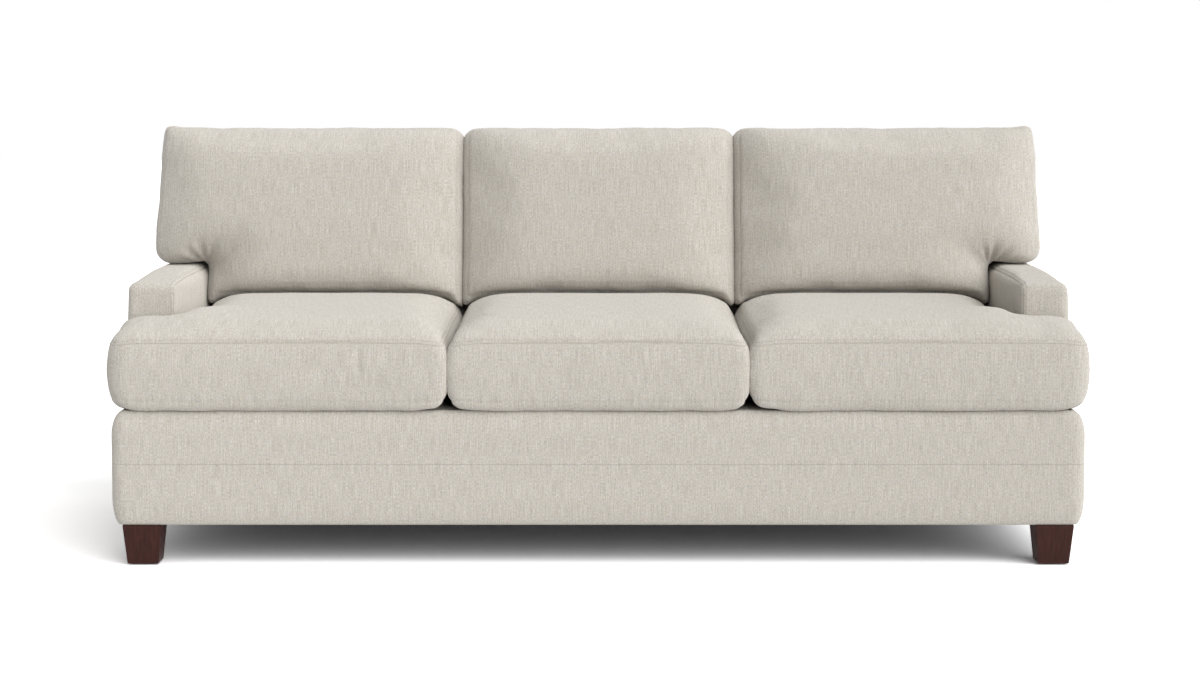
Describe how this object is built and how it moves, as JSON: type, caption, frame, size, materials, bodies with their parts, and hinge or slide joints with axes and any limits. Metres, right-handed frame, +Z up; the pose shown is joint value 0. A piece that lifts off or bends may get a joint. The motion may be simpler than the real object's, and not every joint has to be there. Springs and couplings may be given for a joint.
{
  "type": "track arm sofa",
  "caption": "Upholstered track arm sofa with loose seat and back cushions on a padded base with square tapered wooden legs.",
  "frame": {"origin": "on the floor under the middle of the sofa", "axes": "+X to the right as seen from the front, +Y towards the outside back, +Z up"},
  "size_m": [2.2, 1, 0.97],
  "materials": {
    "upholstery": "woven linen blend",
    "stained_wood": "dark stained, satin",
    "timber": "planed",
    "plywood": "sanded",
    "dowel_wood": "smooth",
    "foam": "open cell foam",
    "felt": "needled felt",
    "covered_wire": "paper covered wire",
    "steel": "zinc plated",
    "black_cloth": "spun cloth",
    "glide_plastic": "matte"
  },
  "bodies": {
    "frame": {"front_left_leg": "stained_wood", "front_right_leg": "stained_wood", "rear_left_leg": "stained_wood", "rear_right_leg": "stained_wood", "leg_glides": "glide_plastic", "leg_bolts": "steel", "leg_nuts": "steel", "corner_blocks": "timber", "front_rail": "timber", "back_rail": "timber", "rear_seat_rail": "timber", "left_side_rail": "timber", "right_side_rail": "timber", "inner_stringers": "timber", "centre_stretchers": "timber", "ear_boards": "plywood", "frame_dowels": "dowel_wood", "seat_springs": "steel", "spring_clips": "steel", "tie_wires": "covered_wire", "insulator": "felt", "edge_roll": "foam", "ear_pads": "foam", "deck_pad": "foam", "deck_cloth": "upholstery", "dust_cover": "black_cloth", "front_border_upper": "upholstery", "front_border_lower": "upholstery", "left_side_border": "upholstery", "right_side_border": "upholstery", "left_end_post": "timber", "right_end_post": "timber", "back_uprights": "timber", "back_top_rail": "timber", "tuck_rail": "timber", "back_bolts": "steel", "back_webbing": "black_cloth", "inside_back_pad": "foam", "inside_back_cover": "upholstery", "outside_back": "upholstery", "arm_front_posts": "timber", "arm_top_boards": "timber", "arm_bottom_rails": "timber", "arm_bolts": "steel", "left_arm_pad": "foam", "right_arm_pad": "foam", "left_arm_cover": "upholstery", "right_arm_cover": "upholstery"},
    "left_seat": {"left_seat_cushion": "upholstery", "left_seat_core": "foam"},
    "left_back": {"left_back_cushion": "upholstery", "left_back_core": "foam"},
    "centre_seat": {"centre_seat_cushion": "upholstery", "centre_seat_core": "foam"},
    "centre_back": {"centre_back_cushion": "upholstery", "centre_back_core": "foam"},
    "right_seat": {"right_seat_cushion": "upholstery", "right_seat_core": "foam"},
    "right_back": {"right_back_cushion": "upholstery", "right_back_core": "foam"}
  },
  "joints": [
    {"name": "left_seat_slide", "type": "slide", "parent": "frame", "child": "left_seat", "axis": [0, -1, 0], "range_m": [0, 0.35]},
    {"name": "centre_seat_slide", "type": "slide", "parent": "frame", "child": "centre_seat", "axis": [0, -1, 0], "range_m": [0, 0.35]},
    {"name": "right_seat_slide", "type": "slide", "parent": "frame", "child": "right_seat", "axis": [0, -1, 0], "range_m": [0, 0.35]},
    {"name": "left_back_lift", "type": "slide", "parent": "frame", "child": "left_back", "axis": [0, 0.2419, 0.9703], "range_m": [0, 0.35]},
    {"name": "centre_back_lift", "type": "slide", "parent": "frame", "child": "centre_back", "axis": [0, 0.2419, 0.9703], "range_m": [0, 0.35]},
    {"name": "right_back_lift", "type": "slide", "parent": "frame", "child": "right_back", "axis": [0, 0.2419, 0.9703], "range_m": [0, 0.35]}
  ]
}
